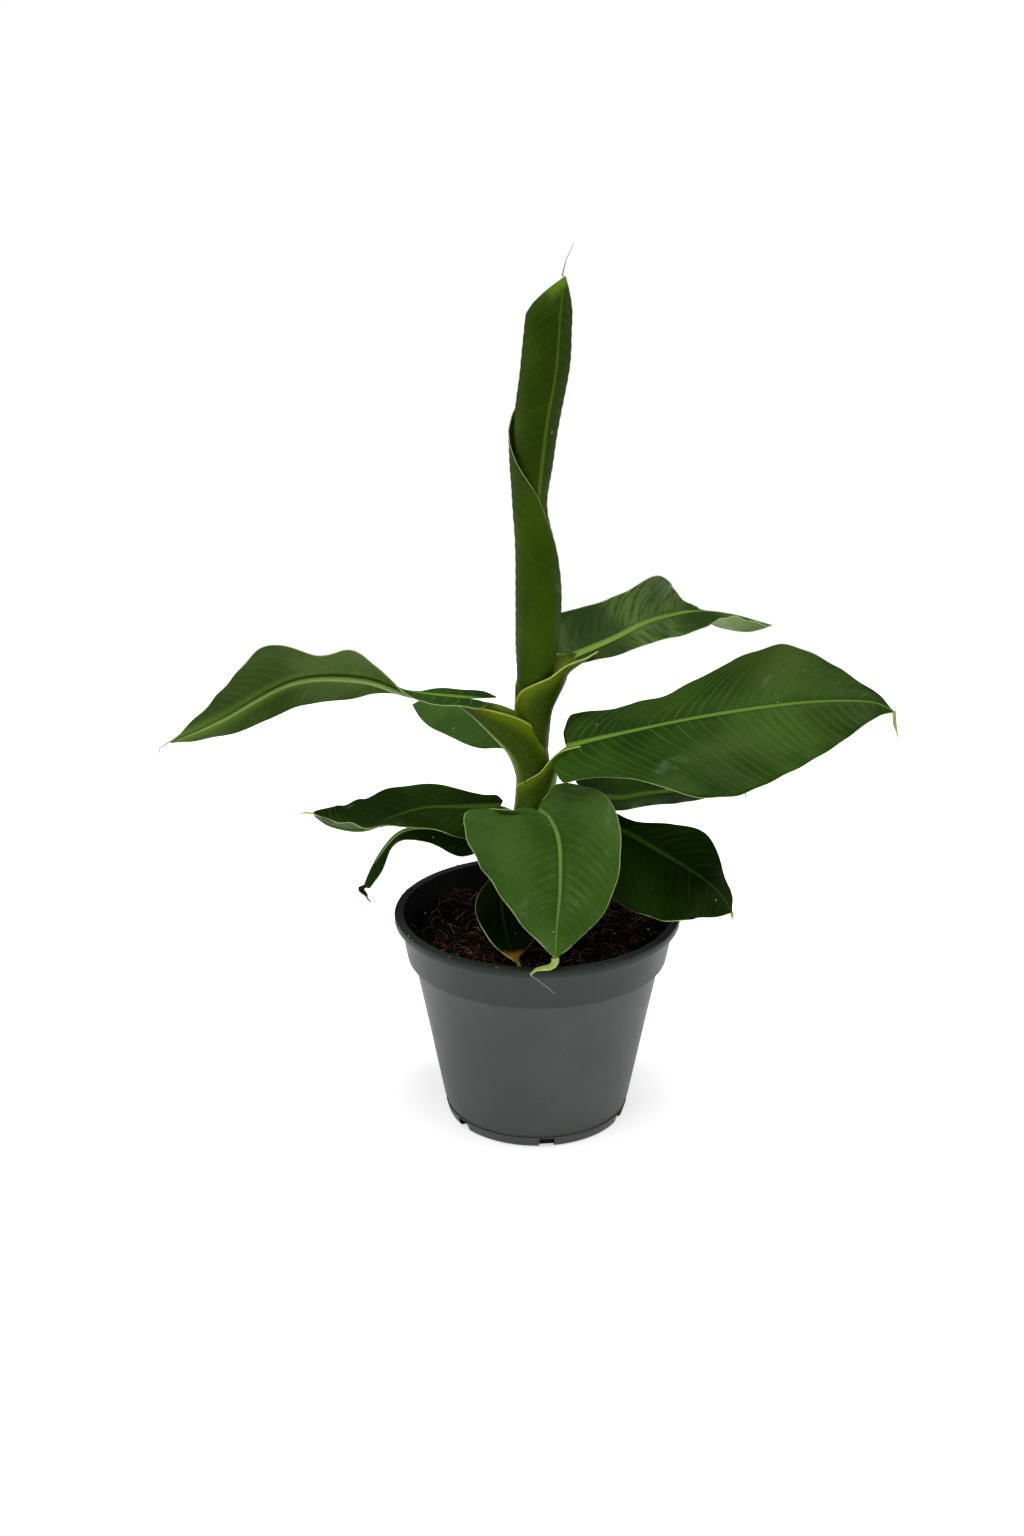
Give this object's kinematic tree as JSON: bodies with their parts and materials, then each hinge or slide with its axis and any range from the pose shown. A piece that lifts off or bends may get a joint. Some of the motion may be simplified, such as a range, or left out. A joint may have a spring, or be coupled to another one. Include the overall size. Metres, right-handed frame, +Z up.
{
  "type": "potted young dwarf banana plant",
  "caption": "Young dwarf banana plant with an upright rolled leaf and arching broad blades, in a round tapered plastic nursery pot of soil.",
  "frame": {"origin": "middle of the pot's flat underside", "axes": "+Z up along the pot's axis and the stem, +X to the plant's right as seen from its front, -Y its front"},
  "size_m": [0.4046, 0.2245, 0.5],
  "materials": {
    "pot_plastic": "satin dark grey injection-moulded plastic, slightly blue-green",
    "potting_soil": "dark brown fibrous peat and coir",
    "stem_sheath": "satin yellow-green leaf sheath, tinged brown",
    "banana_leaf": "glossy deep green blade with fine parallel veins, pale margin and light green midrib"
  },
  "bodies": {
    "root": {"pot": "pot_plastic", "soil": "potting_soil", "pseudostem": "stem_sheath", "rolled_leaf": "banana_leaf", "petiole_upper_right": "stem_sheath", "leaf_upper_right": "banana_leaf", "petiole_upper_left": "stem_sheath", "leaf_upper_left": "banana_leaf", "petiole_back_left": "stem_sheath", "leaf_back_left": "banana_leaf", "petiole_right": "stem_sheath", "leaf_right": "banana_leaf", "petiole_front": "stem_sheath", "leaf_front": "banana_leaf", "petiole_left": "stem_sheath", "leaf_left": "banana_leaf", "petiole_low_left": "stem_sheath", "leaf_low_left": "banana_leaf", "petiole_back_right": "stem_sheath", "leaf_back_right": "banana_leaf", "petiole_low_right": "stem_sheath", "leaf_low_right": "banana_leaf", "petiole_low_front": "stem_sheath", "leaf_low_front": "banana_leaf"}
  },
  "joints": []
}
